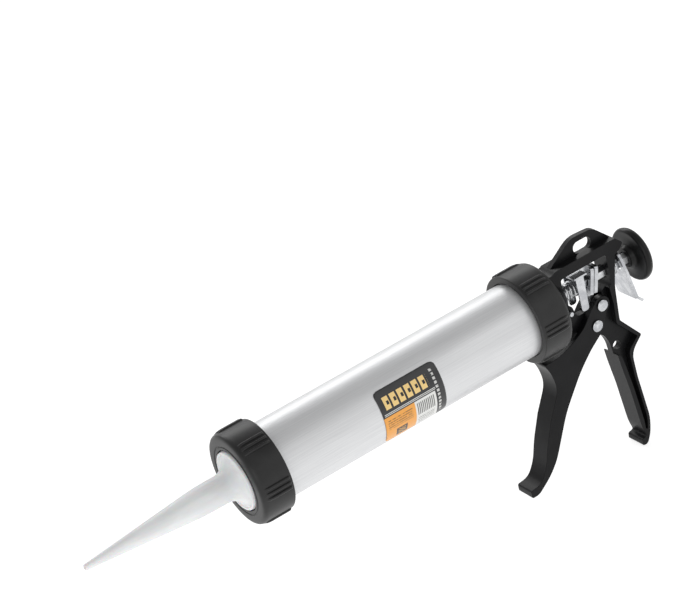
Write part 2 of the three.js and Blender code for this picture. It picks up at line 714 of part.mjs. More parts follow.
function springCarrier() {
  const { front, rear, top, sheet, legRear, foot } = CARRIER;
  const inner = SPRING_OUTER_R + 0.1;
  const outer = inner + sheet;
  const roof = solid(box(front, rear, -outer, outer, top - sheet, top));
  const leg = outlineOf([
    [front + 1.1, top - 0.2], [front + 1.1, foot, 2.5], [legRear - 1, foot, 2.5], [legRear, top - 0.2],
  ]);
  const legs = [-1, 1].map((s) => solid(plate(leg, s < 0 ? -outer : inner, s < 0 ? -inner : outer)));
  return geometryOf(roof.add(legs[0]).add(legs[1]));
}

// ---- Release plate -----------------------------------------------------------------------------
const RELEASE_TOP = 11.2;
const RELEASE_FOOT = -28;
const RELEASE_LIP = 4;

function releasePlate() {
  const half = RELEASE_WIDTH / 2;
  const outline = [
    [-half + 2, RELEASE_TOP, 5], [-half, -6, 6], [-half, RELEASE_FOOT, 2],
    [half, RELEASE_FOOT, 2], [half, -6, 6], [half - 2, RELEASE_TOP, 5],
  ];
  const sheet = tilted(crossPlate(outline, RELEASE_THICKNESS), RELEASE_X, -RELEASE_TILT);
  const footX = RELEASE_X - RELEASE_FOOT * Math.tan(RELEASE_TILT);
  const footHalf = RELEASE_THICKNESS / 2;
  const lip = outlineOf([
    [footX - footHalf, RELEASE_FOOT + 1.5],
    [footX + footHalf - 0.2, RELEASE_FOOT + 1.5],
    [footX + RELEASE_LIP + 0.8, RELEASE_FOOT - 2.2],
    [footX + RELEASE_LIP - 0.6, RELEASE_FOOT - 3.8],
  ]);
  const body = solid(sheet).add(solid(plate(lip, -half, half)));
  return geometryOf(body.subtract(solid(throughRod(RELEASE_X - 8, RELEASE_X + 8, 1.1))));
}

// ---- Assembly ----------------------------------------------------------------------------------
const gun = new THREE.Group();
gun.position.x = -KNOB_REAR_X;

function add(name, geometry, look) {
  const shaped = welded(geometry);
  shaped.computeVertexNormals();
  const mesh = new THREE.Mesh(shaped, new THREE.MeshStandardMaterial(look));
  mesh.name = name;
  gun.add(mesh);
}

add('frame_casting', frameCasting(), BLACK_PAINT);
add('rod_bush', rodBush(), STEEL);
add('trigger_pivot_rivet', rivet(PIVOT, FRAME_WIDTH, RIVET_HEAD_R), ZINC);
add('stop_pin', stopPin(), ZINC);
add('return_spring', returnSpring(), STEEL);
add('release_spring', releaseSpring(), STEEL);

add('rear_ring_cap', ringCap(REAR_CAP_RIM_X, 1), BLACK_NYLON);
add('barrel_tube', barrelTube(), ANODISED);
add('barrel_label', barrelLabel(), LABEL_FILM);

add('nozzle', nozzle(), WHITE_PE);
add('nozzle_gasket', nozzleGasket(), RUBBER);
add('front_ring_cap', ringCap(FRONT_CAP_FACE_X + CAP_LENGTH, -1), BLACK_NYLON);

add('push_rod', pushRod(), STEEL);
add('piston', piston(), BLACK_NYLON);
add('piston_seal', pistonSeal(), RUBBER);
add('piston_screw', pistonScrew(), ZINC);
add('piston_washer', pistonWasher(), ZINC);
add('pull_knob', pullKnob(), BLACK_NYLON);

add('trigger_lever', triggerLever(), BLACK_PAINT);
add('pusher_rivet', rivet(PUSHER, FRAME_WIDTH, RIVET_HEAD_R), ZINC);

add('grip_plate_front', gripPlate(PLATE_AXIS_X[0]), ZINC);
add('grip_plate_rear', gripPlate(PLATE_AXIS_X[1]), ZINC);
add('spring_carrier', springCarrier(), ZINC);
add('release_plate', releasePlate(), ZINC);

export default gun;
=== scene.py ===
# %% [markdown]
# # A caulking gun in Blender
# This lesson dresses a caulking gun: a satin aluminium barrel between two black ring caps, a long
# white nozzle, and a black die-cast frame with a squeeze trigger, a rod and a pull knob. We keep
# the box that the model fills, because the finished look may not outgrow it.

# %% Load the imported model
import json
import math

import bmesh
import bpy
from mathutils import Matrix, Vector

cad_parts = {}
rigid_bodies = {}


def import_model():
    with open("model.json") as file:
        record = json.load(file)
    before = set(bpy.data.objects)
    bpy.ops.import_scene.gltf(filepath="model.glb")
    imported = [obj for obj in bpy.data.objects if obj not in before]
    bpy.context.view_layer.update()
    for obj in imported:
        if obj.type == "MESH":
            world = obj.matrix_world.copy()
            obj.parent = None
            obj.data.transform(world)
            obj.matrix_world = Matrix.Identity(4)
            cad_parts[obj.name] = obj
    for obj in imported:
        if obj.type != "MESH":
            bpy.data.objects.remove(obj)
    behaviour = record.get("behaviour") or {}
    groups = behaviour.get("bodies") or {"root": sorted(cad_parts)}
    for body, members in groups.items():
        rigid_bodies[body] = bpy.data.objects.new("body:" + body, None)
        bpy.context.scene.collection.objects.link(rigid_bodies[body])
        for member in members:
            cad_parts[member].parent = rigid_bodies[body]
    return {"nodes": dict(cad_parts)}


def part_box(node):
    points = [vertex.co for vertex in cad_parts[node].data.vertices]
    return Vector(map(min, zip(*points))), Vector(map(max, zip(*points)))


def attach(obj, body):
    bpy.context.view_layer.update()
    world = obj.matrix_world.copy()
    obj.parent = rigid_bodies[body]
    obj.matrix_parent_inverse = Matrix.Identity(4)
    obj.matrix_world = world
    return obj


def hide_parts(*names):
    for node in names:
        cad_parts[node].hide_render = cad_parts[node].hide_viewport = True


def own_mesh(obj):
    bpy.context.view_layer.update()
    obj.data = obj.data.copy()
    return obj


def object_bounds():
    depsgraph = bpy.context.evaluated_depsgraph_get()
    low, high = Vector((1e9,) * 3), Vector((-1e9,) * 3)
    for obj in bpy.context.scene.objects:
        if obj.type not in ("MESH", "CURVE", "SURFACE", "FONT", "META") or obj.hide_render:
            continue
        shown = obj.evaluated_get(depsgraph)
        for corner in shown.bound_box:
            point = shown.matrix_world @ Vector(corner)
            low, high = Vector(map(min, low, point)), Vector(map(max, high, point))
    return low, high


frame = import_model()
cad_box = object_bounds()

# %% [markdown]
# ## Millimetres and stations along the rod
# The real tool is easiest to think of in millimetres along its rod. The model's zero is the flat
# rear face of the pull knob. Each station below is read from the boxes of the model's own nodes, so
# a piece made here always starts and stops where its solid does. The nozzle points to -X.

# %% Stations and radii
MM = 0.001


def span_x(node):
    low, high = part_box(node)
    return low.x / MM, high.x / MM


BARREL_FRONT, BARREL_REAR = span_x("barrel_tube")
BARREL_R = 27.0
BARREL_WALL = 1.2
FRONT_CAP_FACE, FRONT_CAP_RIM = span_x("front_ring_cap")
REAR_CAP_RIM = span_x("rear_ring_cap")[0]
NOZZLE_TIP, NOZZLE_REAR = span_x("nozzle")
LABEL_FRONT, LABEL_REAR = span_x("barrel_label")
KNOB_FRONT, KNOB_REAR = span_x("pull_knob")
print(f"barrel {BARREL_REAR - BARREL_FRONT:.1f} mm long, nozzle tip at {NOZZLE_TIP:.1f} mm")

# %% [markdown]
# ## The camera
# The tool is seen from the side of its handle, from a little in front and well above, with the
# camera rolled so that the barrel runs down to the left. A long lens keeps the barrel's two edges
# nearly parallel. The camera stands on a line from a point in the middle of the barrel: the
# azimuth and elevation give that line, and the two sideways steps put the tool off centre.

# %% Camera
AZIMUTH = math.radians(-25.83)
ELEVATION = math.radians(27.64)
ROLL = math.radians(-16.1)
DISTANCE = 1617.6 * MM
LOOK_AT = Vector((-208 * MM, 0, 0))
SIDE_STEP = 38.37 * MM
UP_STEP = -62.02 * MM

back = Vector((
    math.sin(AZIMUTH) * math.cos(ELEVATION),
    -math.cos(AZIMUTH) * math.cos(ELEVATION),
    math.sin(ELEVATION),
))
level = Vector((math.cos(AZIMUTH), math.sin(AZIMUTH), 0))
upright = back.cross(level)
right = math.cos(ROLL) * level + math.sin(ROLL) * upright
up = math.cos(ROLL) * upright - math.sin(ROLL) * level

camera = bpy.data.objects.new("Camera", bpy.data.cameras.new("Camera"))
bpy.context.scene.collection.objects.link(camera)
camera.data.lens = 130.28
camera.data.sensor_width = 36
camera.data.clip_start = 0.05
camera.data.clip_end = 20
place = LOOK_AT + DISTANCE * back - SIDE_STEP * right - UP_STEP * up
camera.matrix_world = Matrix((
    (right.x, up.x, back.x, place.x),
    (right.y, up.y, back.y, place.y),
    (right.z, up.z, back.z, place.z),
    (0, 0, 0, 1),
))
bpy.context.scene.camera = camera
print("camera at", [round(v, 3) for v in place])

# %% [markdown]
# ## Floor and light
# Black plastic and satin metal show their form through what they mirror, so the studio is a white
# room: a pale floor, a bright sky all round, and a few large soft lamps that leave long streaks on
# the barrel and along the edges of the frame. The standard view keeps whites white.

# %% Floor
FLOOR_GAP = 0.6 * MM


def link(name, mesh):
    piece = bpy.data.objects.new(name, mesh)
    bpy.context.scene.collection.objects.link(piece)
    return piece


floor_mesh = bpy.data.meshes.new("floor")
floor_z = cad_box[0][2] - FLOOR_GAP
half_floor = 6.0
floor_mesh.from_pydata(
    [(x, y, floor_z) for x, y in ((-half_floor, -half_floor), (half_floor, -half_floor),
                                  (half_floor, half_floor), (-half_floor, half_floor))],
    [], [(0, 1, 2, 3)])
paper = bpy.data.materials.new("pale_paper")
paper.use_nodes = True
paper_shader = paper.node_tree.nodes["Principled BSDF"]
paper_shader.inputs["Base Color"].default_value = (0.5, 0.5, 0.5, 1)
paper_shader.inputs["Roughness"].default_value = 0.9
paper_shader.inputs["Specular IOR Level"].default_value = 0.0
paper_shader.inputs["Emission Color"].default_value = (1, 1, 1, 1)
paper_shader.inputs["Emission Strength"].default_value = 0.74
floor_mesh.materials.append(paper)
floor = link("floor", floor_mesh)
print("floor at", round(floor_z, 4))


# %% Lamps and sky
def soft_lamp(name, azimuth, elevation, distance, width, height, watts):
    """A rectangular lamp that looks at the middle of the barrel."""
    lamp = bpy.data.objects.new(name, bpy.data.lights.new(name, "AREA"))
    bpy.context.scene.collection.objects.link(lamp)
    lamp.data.shape = "RECTANGLE"
    lamp.data.size = width
    lamp.data.size_y = height
    lamp.data.energy = watts
    a, e = math.radians(azimuth), math.radians(elevation)
    away = Vector((math.sin(a) * math.cos(e), -math.cos(a) * math.cos(e), math.sin(e)))
    lamp.location = LOOK_AT + away * distance
    lamp.rotation_euler = away.to_track_quat("Z", "Y").to_euler()
    return lamp


HORIZON, ZENITH = 0.82, 0.42
lamps = [
    soft_lamp("key", -30, 20, 1.5, 1.3, 0.6, 3.0),
    soft_lamp("fill", 45, 30, 1.6, 0.9, 0.9, 2.0),
    soft_lamp("rim", 165, 32, 1.4, 1.6, 0.45, 7.0),
]
world = bpy.data.worlds.new("studio")
bpy.context.scene.world = world
world.use_nodes = True
sky = world.node_tree
direction = sky.nodes.new("ShaderNodeTexCoord")
height = sky.nodes.new("ShaderNodeSeparateXYZ")
shade = sky.nodes.new("ShaderNodeMapRange")
shade.inputs["From Min"].default_value = 0.0
shade.inputs["From Max"].default_value = 0.9
shade.inputs["To Min"].default_value = HORIZON
shade.inputs["To Max"].default_value = ZENITH
sky.links.new(direction.outputs["Generated"], height.inputs[0])
sky.links.new(height.outputs["Z"], shade.inputs["Value"])
sky.links.new(shade.outputs[0], sky.nodes["Background"].inputs["Color"])
bpy.context.scene.view_settings.view_transform = "Standard"
print(len(lamps), "lamps")

# %% [markdown]
# ## Writing finishes as expressions
# A finish is a small calculation over the surface: grain, specks, dust in the corners. `Wire`
# wraps one socket of the node tree and lets Python's own operators add Math nodes, so
# `1 - grain * 0.3` reads like arithmetic. `Finish` owns one material, and its `node` method adds any
# other node: the type, the settings that must come first, then the values or links of its inputs.

# %% Wire: arithmetic on sockets
class Wire:
    def __init__(self, finish, socket):
        self.finish = finish
        self.socket = socket

    def maths(self, operation, first, second=None):
        values = {0: first} if second is None else {0: first, 1: second}
        return self.finish.node("ShaderNodeMath", {"operation": operation}, values)

    def __add__(self, other):
        return self.maths("ADD", self, other)

    def __radd__(self, other):
        return self.maths("ADD", other, self)

    def __sub__(self, other):
        return self.maths("SUBTRACT", self, other)

    def __rsub__(self, other):
        return self.maths("SUBTRACT", other, self)

    def __mul__(self, other):
        return self.maths("MULTIPLY", self, other)

    def __rmul__(self, other):
        return self.maths("MULTIPLY", other, self)

    def __gt__(self, other):
        return self.maths("GREATER_THAN", self, other)

    def __lt__(self, other):
        return self.maths("LESS_THAN", self, other)

    def wrapped(self):
        return self.maths("FRACT", self)


print("Wire knows + - * < >")


# %% Finish: one material and its nodes
OBJECT_OUTPUT = 3                # the Object output of a Texture Coordinate node
COLOUR_OUTPUT = 2                # the colour output of a Mix node


class Finish:
    def __init__(self, name, **constants):
        self.material = bpy.data.materials.new(name)
        self.material.use_nodes = True
        self.tree = self.material.node_tree
        self.shader = self.tree.nodes["Principled BSDF"]
        for socket, value in constants.items():
            self.shader.inputs[socket.replace("_", " ")].default_value = value

    def node(self, kind, settings=None, values=None, output=0):
        made = self.tree.nodes.new(kind)
        for key, setting in (settings or {}).items():
            setattr(made, key, setting)
        for key, value in (values or {}).items():
            self.feed(made.inputs[key], value)
        return Wire(self, made.outputs[output])

    def feed(self, socket, value):
        if isinstance(value, Wire):
            self.tree.links.new(value.socket, socket)
        else:
            socket.default_value = value

    def surface(self, **inputs):
        for name, value in inputs.items():
            self.feed(self.shader.inputs[name.replace("_", " ")], value)
        return self.material

    def place(self, scale=(1, 1, 1)):
        spot = self.node("ShaderNodeTexCoord", output=OBJECT_OUTPUT)
        return self.node("ShaderNodeMapping", None, {"Vector": spot, "Scale": scale})

    def noise(self, where, scale, detail=2.0, roughness=0.5):
        values = {"Vector": where, "Scale": scale, "Detail": detail, "Roughness": roughness}
        return self.node("ShaderNodeTexNoise", {"noise_dimensions": "3D"}, values)

    def between(self, value, low, high):
        values = {0: value, 1: low, 2: high}
        return self.node("ShaderNodeMapRange", {"interpolation_type": "SMOOTHSTEP"}, values)

    def blend(self, share, first, second):
        settings = {"data_type": "RGBA"}
        return self.node("ShaderNodeMix", settings, {0: share, 6: first, 7: second}, output=COLOUR_OUTPUT)

    def bump(self, height, distance, strength=1.0):
        values = {"Height": height, "Distance": distance, "Strength": strength}
        return self.node("ShaderNodeBump", None, values)


def grey(value):
    return (value, value, value, 1)


print("Finish builds materials")

# %% [markdown]
# ## Satin anodised aluminium
# A drawn tube carries fine lines along its length from the die, and anodising leaves it satin. The
# lines are noise squeezed hard across the axis and stretched along it. They shift the roughness
# and the grey by a little, and a very low bump breaks the reflections into a soft sheen.

# %% Aluminium
def satin_aluminium():
    finish = Finish("satin_aluminium", Metallic=0.62)
    lines = finish.noise(finish.place((3, 260, 260)), 9.0, 3.0, 0.6)
    cloud = finish.noise(finish.place(), 22.0, 2.0)
    fine = finish.noise(finish.place((60, 900, 900)), 6.0, 1.0)
    colour = finish.blend(finish.between(lines, 0.3, 0.7), (0.66, 0.665, 0.675, 1), (0.74, 0.745, 0.752, 1))
    rough = 0.36 + 0.10 * lines + 0.05 * cloud
    height = lines * 0.6 + fine * 0.4
    return finish.surface(Base_Color=colour, Roughness=rough, Normal=finish.bump(height, 0.02 * MM, 0.5))


aluminium = satin_aluminium()
print(aluminium.name)


# %% [markdown]
# ## Black moulded nylon and black powder coat
# The caps and the knob are moulded: matte, with a spark-eroded texture that scatters the light, and
# a little paler in soft random patches. The frame and the trigger are die-cast and powder coated:
# glossier, with the soft orange-peel waves that a baked powder leaves. Both are nearly black.

# %% Black finishes
def moulded_nylon(name, shade, gloss, mirror):
    finish = Finish(name, Specular_IOR_Level=mirror)
    texture = finish.noise(finish.place(), 1500.0, 2.0, 0.6)
    haze = finish.noise(finish.place(), 60.0, 3.0)
    colour = finish.blend(finish.between(haze, 0.35, 0.7), grey(shade), grey(shade * 1.5))
    rough = gloss - 0.05 + haze * 0.10
    return finish.surface(Base_Color=colour, Roughness=rough, Normal=finish.bump(texture, 0.05 * MM, 0.45))


def powder_coat():
    finish = Finish("black_powder_coat", Specular_IOR_Level=0.14, Coat_Weight=0.04, Coat_Roughness=0.15)
    peel = finish.noise(finish.place(), 420.0, 1.5)
    grit = finish.noise(finish.place(), 2600.0, 1.0)
    haze = finish.noise(finish.place(), 45.0, 3.0)
    deep, worn = (0.0042, 0.0042, 0.0048, 1), (0.0078, 0.0078, 0.0084, 1)
    colour = finish.blend(finish.between(haze, 0.3, 0.7), deep, worn)
    rough = 0.30 + haze * 0.12
    height = peel * 0.8 + grit * 0.2
    return finish.surface(Base_Color=colour, Roughness=rough, Normal=finish.bump(height, 0.06 * MM, 0.35))


cap_nylon = moulded_nylon("cap_nylon", 0.013, 0.40, 0.36)
knob_nylon = moulded_nylon("knob_nylon", 0.005, 0.34, 0.24)
black_coat = powder_coat()
print(cap_nylon.name, knob_nylon.name, black_coat.name)


# %% [markdown]
# ## Polyethylene, zinc, steel and rubber
# The nozzle is natural polyethylene, which is white and lets some light into its wall: subsurface
# scattering gives it that milky look. The small metal pieces are zinc plated, with faint clouds and
# scratches. The rod is drawn steel, with its lines along its length. The gasket and the seal are
# dull rubber.

# %% Polyethylene and metals
def milky_polyethylene():
    finish = Finish("milky_polyethylene", Subsurface_Weight=0.2, Subsurface_Scale=0.003)
    flow = finish.noise(finish.place((14, 60, 60)), 3.0, 2.0)
    skin = finish.noise(finish.place(), 500.0, 2.0)
    colour = finish.blend(finish.between(flow, 0.35, 0.65), (0.77, 0.775, 0.78, 1), (0.83, 0.833, 0.836, 1))
    rough = 0.34 + skin * 0.12
    return finish.surface(Base_Color=colour, Roughness=rough, Normal=finish.bump(skin, 0.03 * MM, 0.3))


def plated_metal(name, colour_low, colour_high, stretch, gloss):
    finish = Finish(name, Metallic=1.0)
    cloud = finish.noise(finish.place(), 160.0, 3.0, 0.6)
    lines = finish.noise(finish.place(stretch), 14.0, 2.0, 0.6)
    colour = finish.blend(finish.between(cloud, 0.35, 0.7), colour_low, colour_high)
    rough = gloss - 0.04 + lines * 0.10
    return finish.surface(Base_Color=colour, Roughness=rough, Normal=finish.bump(lines, 0.02 * MM, 0.4))


def dull_rubber():
    finish = Finish("dull_rubber", Roughness=0.8)
    bloom = finish.noise(finish.place(), 300.0, 3.0)
    colour = finish.blend(bloom, grey(0.012), grey(0.03))
    return finish.surface(Base_Color=colour, Normal=finish.bump(bloom, 0.05 * MM, 0.5))


polyethylene = milky_polyethylene()
zinc = plated_metal("zinc_plate", (0.44, 0.45, 0.47, 1), (0.62, 0.63, 0.645, 1), (60, 60, 8), 0.24)
drawn_steel = plated_metal("drawn_steel", (0.55, 0.56, 0.57, 1), (0.72, 0.73, 0.74, 1), (3, 120, 120), 0.28)
rubber = dull_rubber()
print(polyethylene.name, zinc.name, drawn_steel.name, rubber.name)

# %% [markdown]
# ## The printed film
# The sticker has a black band on top with a row of plain amber blocks, a thin double line, an amber
# panel with rows of small print and a dark square, a white panel with bars, and a black strip with
# light marks at its end. It is all drawn by the shader on the film's own map, where u runs from 0 at
# the nozzle's end to 1 at the rear, and v from 0 below to 1 on top. No text is written.

# %% Printed film
def printed_film():
    finish = Finish("printed_film", Coat_Weight=0.3, Coat_Roughness=0.25)
    spot = finish.node("ShaderNodeUVMap", {"uv_map": "film"})
    u = finish.node("ShaderNodeSeparateXYZ", None, {0: spot}, output=0)
    v = finish.node("ShaderNodeSeparateXYZ", None, {0: spot}, output=1)

    def panel(u0, u1, v0, v1):
        return (u > u0) * (u < u1) * (v > v0) * (v < v1)

    def stripes(value, count, share):
        return (value * count).wrapped() < share

    black = (0.012, 0.012, 0.013, 1)
    amber = (0.83, 0.36, 0.055, 1)
    pale = (0.74, 0.74, 0.72, 1)
    speck = finish.noise(finish.node("ShaderNodeTexCoord", output=OBJECT_OUTPUT), 900.0, 2.0)
    colour = finish.blend(speck, black, (0.022, 0.022, 0.024, 1))

    first_block, last_block, block_count = 0.085, 0.80, 8.4
    hollow_inset = 0.04
    blocks = panel(first_block, last_block, 0.655, 0.87) * stripes(u - first_block, block_count, 0.74)
    hollow = panel(first_block, last_block, 0.73, 0.795) * stripes(
        u - (first_block + hollow_inset), block_count, 0.32)
    colour = finish.blend(blocks, colour, (0.88, 0.62, 0.24, 1))
    colour = finish.blend(hollow, colour, black)

    rules = panel(0.03, 0.86, 0.565, 0.615) * stripes(v - 0.565, 40.0, 0.45)
    colour = finish.blend(rules, colour, pale)

    colour = finish.blend(panel(0.0, 0.50, 0.0, 0.545), colour, amber)
    print_rows = panel(0.05, 0.45, 0.30, 0.50) * stripes(v, 24.0, 0.45)
    letter_grid = finish.node("ShaderNodeMapping", None, {"Vector": spot, "Scale": (60, 12, 1)})
    words = finish.noise(letter_grid, 1.0, 1.0)
    colour = finish.blend(print_rows * (words > 0.42) * 0.8, colour, (0.10, 0.05, 0.015, 1))
    colour = finish.blend(panel(0.17, 0.35, 0.06, 0.24), colour, (0.06, 0.035, 0.015, 1))
    hatching = panel(0.20, 0.32, 0.09, 0.21) * stripes(u + v, 22.0, 0.5)
    colour = finish.blend(hatching, colour, (0.55, 0.28, 0.05, 1))

    colour = finish.blend(panel(0.50, 0.845, 0.0, 0.545), colour, pale)
    bars = panel(0.53, 0.82, 0.27, 0.50) * stripes(u, 34.0, 0.52)
    colour = finish.blend(bars * 0.85, colour, black)
    lines = panel(0.53, 0.80, 0.05, 0.23) * stripes(v, 22.0, 0.4)
    colour = finish.blend(lines * (words > 0.4) * 0.7, colour, (0.08, 0.08, 0.08, 1))

    marks = panel(0.875, 0.915, 0.10, 0.90) * stripes(v, 14.0, 0.62)
    colour = finish.blend(marks * (words > 0.36) * 0.8, colour, pale)
    edge = (speck - 0.5) * 0.1
    return finish.surface(Base_Color=colour, Roughness=0.34 + edge, Normal=finish.bump(speck, 0.01 * MM, 0.3))


film = printed_film()
print(film.name)

# %% [markdown]
# ## A tree that turns a profile
# Most of this tool comes off a lathe or out of a round mould. The node tree below turns a profile
# about the rod's axis: the profile is a small mesh of points (along the axis, radius). It is swept
# round a tiny circle, which gives a closed skin with no seam. The points that lie on the axis are
# merged, and the finish is set at the end of the tree.

# %% Tree helpers
class Tree:
    """A geometry tree with named inputs."""

    def __init__(self, name, inputs):
        self.group = bpy.data.node_groups.new(name, "GeometryNodeTree")
        face = self.group.interface
        face.new_socket("Geometry", in_out="INPUT", socket_type="NodeSocketGeometry")
        self.ids = {}
        for label, kind, default in inputs:
            socket = face.new_socket(label, in_out="INPUT", socket_type="NodeSocket" + kind)
            if default is not None:
                socket.default_value = default
            self.ids[label] = socket.identifier
        face.new_socket("Geometry", in_out="OUTPUT", socket_type="NodeSocketGeometry")
        self.source = self.group.nodes.new("NodeGroupInput")
        self.sink = self.group.nodes.new("NodeGroupOutput")

    def given(self, label):
        return self.source.outputs[label]

    def node(self, kind, settings=None, values=None):
        made = self.group.nodes.new(kind)
        for key, setting in (settings or {}).items():
            setattr(made, key, setting)
        for key, value in (values or {}).items():
            if isinstance(value, bpy.types.NodeSocket):
                self.group.links.new(value, made.inputs[key])
            else:
                made.inputs[key].default_value = value
        return made.outputs[0]

    def maths(self, operation, first, second=0.0):
        return self.node("ShaderNodeMath", {"operation": operation}, {0: first, 1: second})

    def close(self, geometry):
        """Every tree ends in real geometry with its finish set."""
        real = self.node("GeometryNodeRealizeInstances", None, {"Geometry": geometry})
        dressed = {"Geometry": real, "Material": self.given("Finish")}
        done = self.node("GeometryNodeSetMaterial", None, dressed)
        self.group.links.new(done, self.sink.inputs[0])


def grown(name, mesh, tree, **inputs):
    """Runs a tree on a mesh and returns the result as a plain mesh."""
    seed = link(name + "_seed", mesh)
    modifier = seed.modifiers.new("tree", "NODES")
    modifier.node_group = tree.group
    for label, value in inputs.items():
        modifier[tree.ids[label.replace("_", " ")]] = value
    bpy.context.view_layer.update()
    made = bpy.data.meshes.new_from_object(seed.evaluated_get(bpy.context.evaluated_depsgraph_get()))
    made.name = name
    seed.modifiers.remove(modifier)
    bpy.data.objects.remove(seed)
    return made


print("tree helpers ready")

# %% The turning tree
SWEEP_R = 0.001                  # radius of the circle that a profile is swept round, metres


def turning_tree():
    inputs = [("Steps round", "Int", 96), ("Circle", "Float", SWEEP_R), ("Finish", "Material", None)]
    tree = Tree("turned_piece", inputs)
    profile = tree.node("GeometryNodeMeshToCurve", None, {"Mesh": tree.given("Geometry")})
    values = {"Resolution": tree.given("Steps round"), "Radius": tree.given("Circle")}
    circle = tree.node("GeometryNodeCurvePrimitiveCircle", {"mode": "RADIUS"}, values)
    swept = tree.node("GeometryNodeCurveToMesh", None, {"Curve": circle, "Profile Curve": profile})
    turn = {"Geometry": swept, "Rotation": (0, math.radians(-90), 0)}
    laid = tree.node("GeometryNodeTransform", None, turn)
    merged = tree.node("GeometryNodeMergeByDistance", None, {"Geometry": laid, "Distance": 1e-6})
    tree.close(merged)
    return tree


TURNING = turning_tree()
print(TURNING.group.name, list(TURNING.ids))

# %% [markdown]
# ## Rounding corners and cleaning a mesh
# No moulded or turned edge is sharp. A profile's corner may carry a third number, its rounding, and
# `rounded` puts a short arc there. Every new mesh gets its doubles merged, its faces turned out and
# its hard edges found by angle, so flat faces stay flat and round ones look round.

# %% Profiles and clean meshes
def rounded(points, closed=True, steps=5):
    """Points (along, radius) or (along, radius, rounding) with arcs at the rounded corners."""
    path = []
    count = len(points)
    for i, point in enumerate(points):
        corner = Vector(point[:2])
        wanted = point[2] if len(point) > 2 else 0
        if not wanted or (not closed and i in (0, count - 1)):
            path.append(corner)
            continue
        before = Vector(points[i - 1][:2]) - corner
        after = Vector(points[(i + 1) % count][:2]) - corner
        size = min(wanted, 0.48 * before.length, 0.48 * after.length)
        start, end = corner + before.normalized() * size, corner + after.normalized() * size
        for step in range(steps + 1):
            t = step / steps
            path.append(start.lerp(corner, t).lerp(corner.lerp(end, t), t))
    return path


def tidy(mesh, angle=35):
    work = bmesh.new()
    work.from_mesh(mesh)
    bmesh.ops.remove_doubles(work, verts=work.verts, dist=1e-7)
    bmesh.ops.dissolve_degenerate(work, edges=work.edges, dist=1e-8)
    bmesh.ops.recalc_face_normals(work, faces=work.faces)
    work.to_mesh(mesh)
    work.free()
    mesh.shade_smooth()
    mesh.set_sharp_from_angle(angle=math.radians(angle))
    return mesh


def turned(name, points, finish, closed=True, steps=96, angle=35):
    path = rounded(points, closed)
    edges = [(i, i + 1) for i in range(len(path) - 1)]
    if closed:
        edges.append((len(path) - 1, 0))
    outline = bpy.data.meshes.new(name + "_profile")
    outline.from_pydata([(r * MM - SWEEP_R, x * MM, 0) for x, r in path], edges, [])
    made = grown(name, outline, TURNING, Steps_round=steps, Circle=SWEEP_R, Finish=finish)
    return tidy(made, angle)


def add_piece(name, mesh, body, slot, *nodes):
    """Puts a finished mesh in the scene on its body, in place of the nodes it stands for."""
    piece = link(name, mesh)
    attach(piece, body)
    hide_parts(*nodes)
    low = [min(v.co[k] for v in mesh.vertices) / MM for k in range(3)]
    high = [max(v.co[k] for v in mesh.vertices) / MM for k in range(3)]
    reach = f"x {low[0]:.1f} to {high[0]:.1f}, z {low[2]:.1f} to {high[2]:.1f}"
    print(f"{name}: {len(mesh.polygons)} faces, {reach}")
    return piece


print("profile helpers ready")

# %% [markdown]
# ## The barrel
# The tube is one turned piece with a thin wall and slightly broken edges. Near each end it carries
# a rolled round thread, which a ring cap screws onto. The thread follows a helix, so a second tree
# makes it: a spiral curve given a round section, laid along the rod and shifted to its place. The
# same tree makes both coil springs later.

# %% The coil tree
def coil_tree():
    inputs = [
        ("Turns", "Float", 4.0), ("Height", "Float", 0.01), ("Radius", "Float", 0.005),
        ("Wire radius", "Float", 0.0006), ("Start", "Float", 0.0), ("Steps per turn", "Int", 40),
        ("Finish", "Material", None),
    ]
    tree = Tree("coil_about_rod", inputs)
    values = {
        "Resolution": tree.given("Steps per turn"), "Rotations": tree.given("Turns"),
        "Start Radius": tree.given("Radius"), "End Radius": tree.given("Radius"),
        "Height": tree.given("Height"),
    }
    spiral = tree.node("GeometryNodeCurveSpiral", None, values)
    wire_values = {"Resolution": 12, "Radius": tree.given("Wire radius")}
    wire = tree.node("GeometryNodeCurvePrimitiveCircle", {"mode": "RADIUS"}, wire_values)
    values = {"Curve": spiral, "Profile Curve": wire, "Fill Caps": True}
    body = tree.node("GeometryNodeCurveToMesh", None, values)
    along = tree.node("ShaderNodeCombineXYZ", None, {"X": tree.given("Start")})
    turn = {"Geometry": body, "Rotation": (0, math.radians(90), 0), "Translation": along}
    laid = tree.node("GeometryNodeTransform", None, turn)
    tree.close(laid)
    return tree


COILING = coil_tree()


def coil(name, start, length, turns, radius, wire, finish):
    """A helix about the rod from start, in millimetres."""
    empty = bpy.data.meshes.new(name + "_empty")
    made = grown(name, empty, COILING, Turns=float(turns), Height=length * MM, Radius=radius * MM,
                 Wire_radius=wire * MM, Start=start * MM, Finish=finish)
    return tidy(made, 60)


print(COILING.group.name, list(COILING.ids))

# %% Barrel and its threads
tube_profile = [
    (BARREL_FRONT, BARREL_R - BARREL_WALL, 0.3), (BARREL_FRONT, BARREL_R, 0.4),
    (BARREL_REAR, BARREL_R, 0.4), (BARREL_REAR, BARREL_R - BARREL_WALL, 0.3),
]
barrel_skin = turned("barrel_skin", tube_profile, aluminium, steps=160)
add_piece("barrel_skin", barrel_skin, "barrel", "aluminium", "barrel_tube")

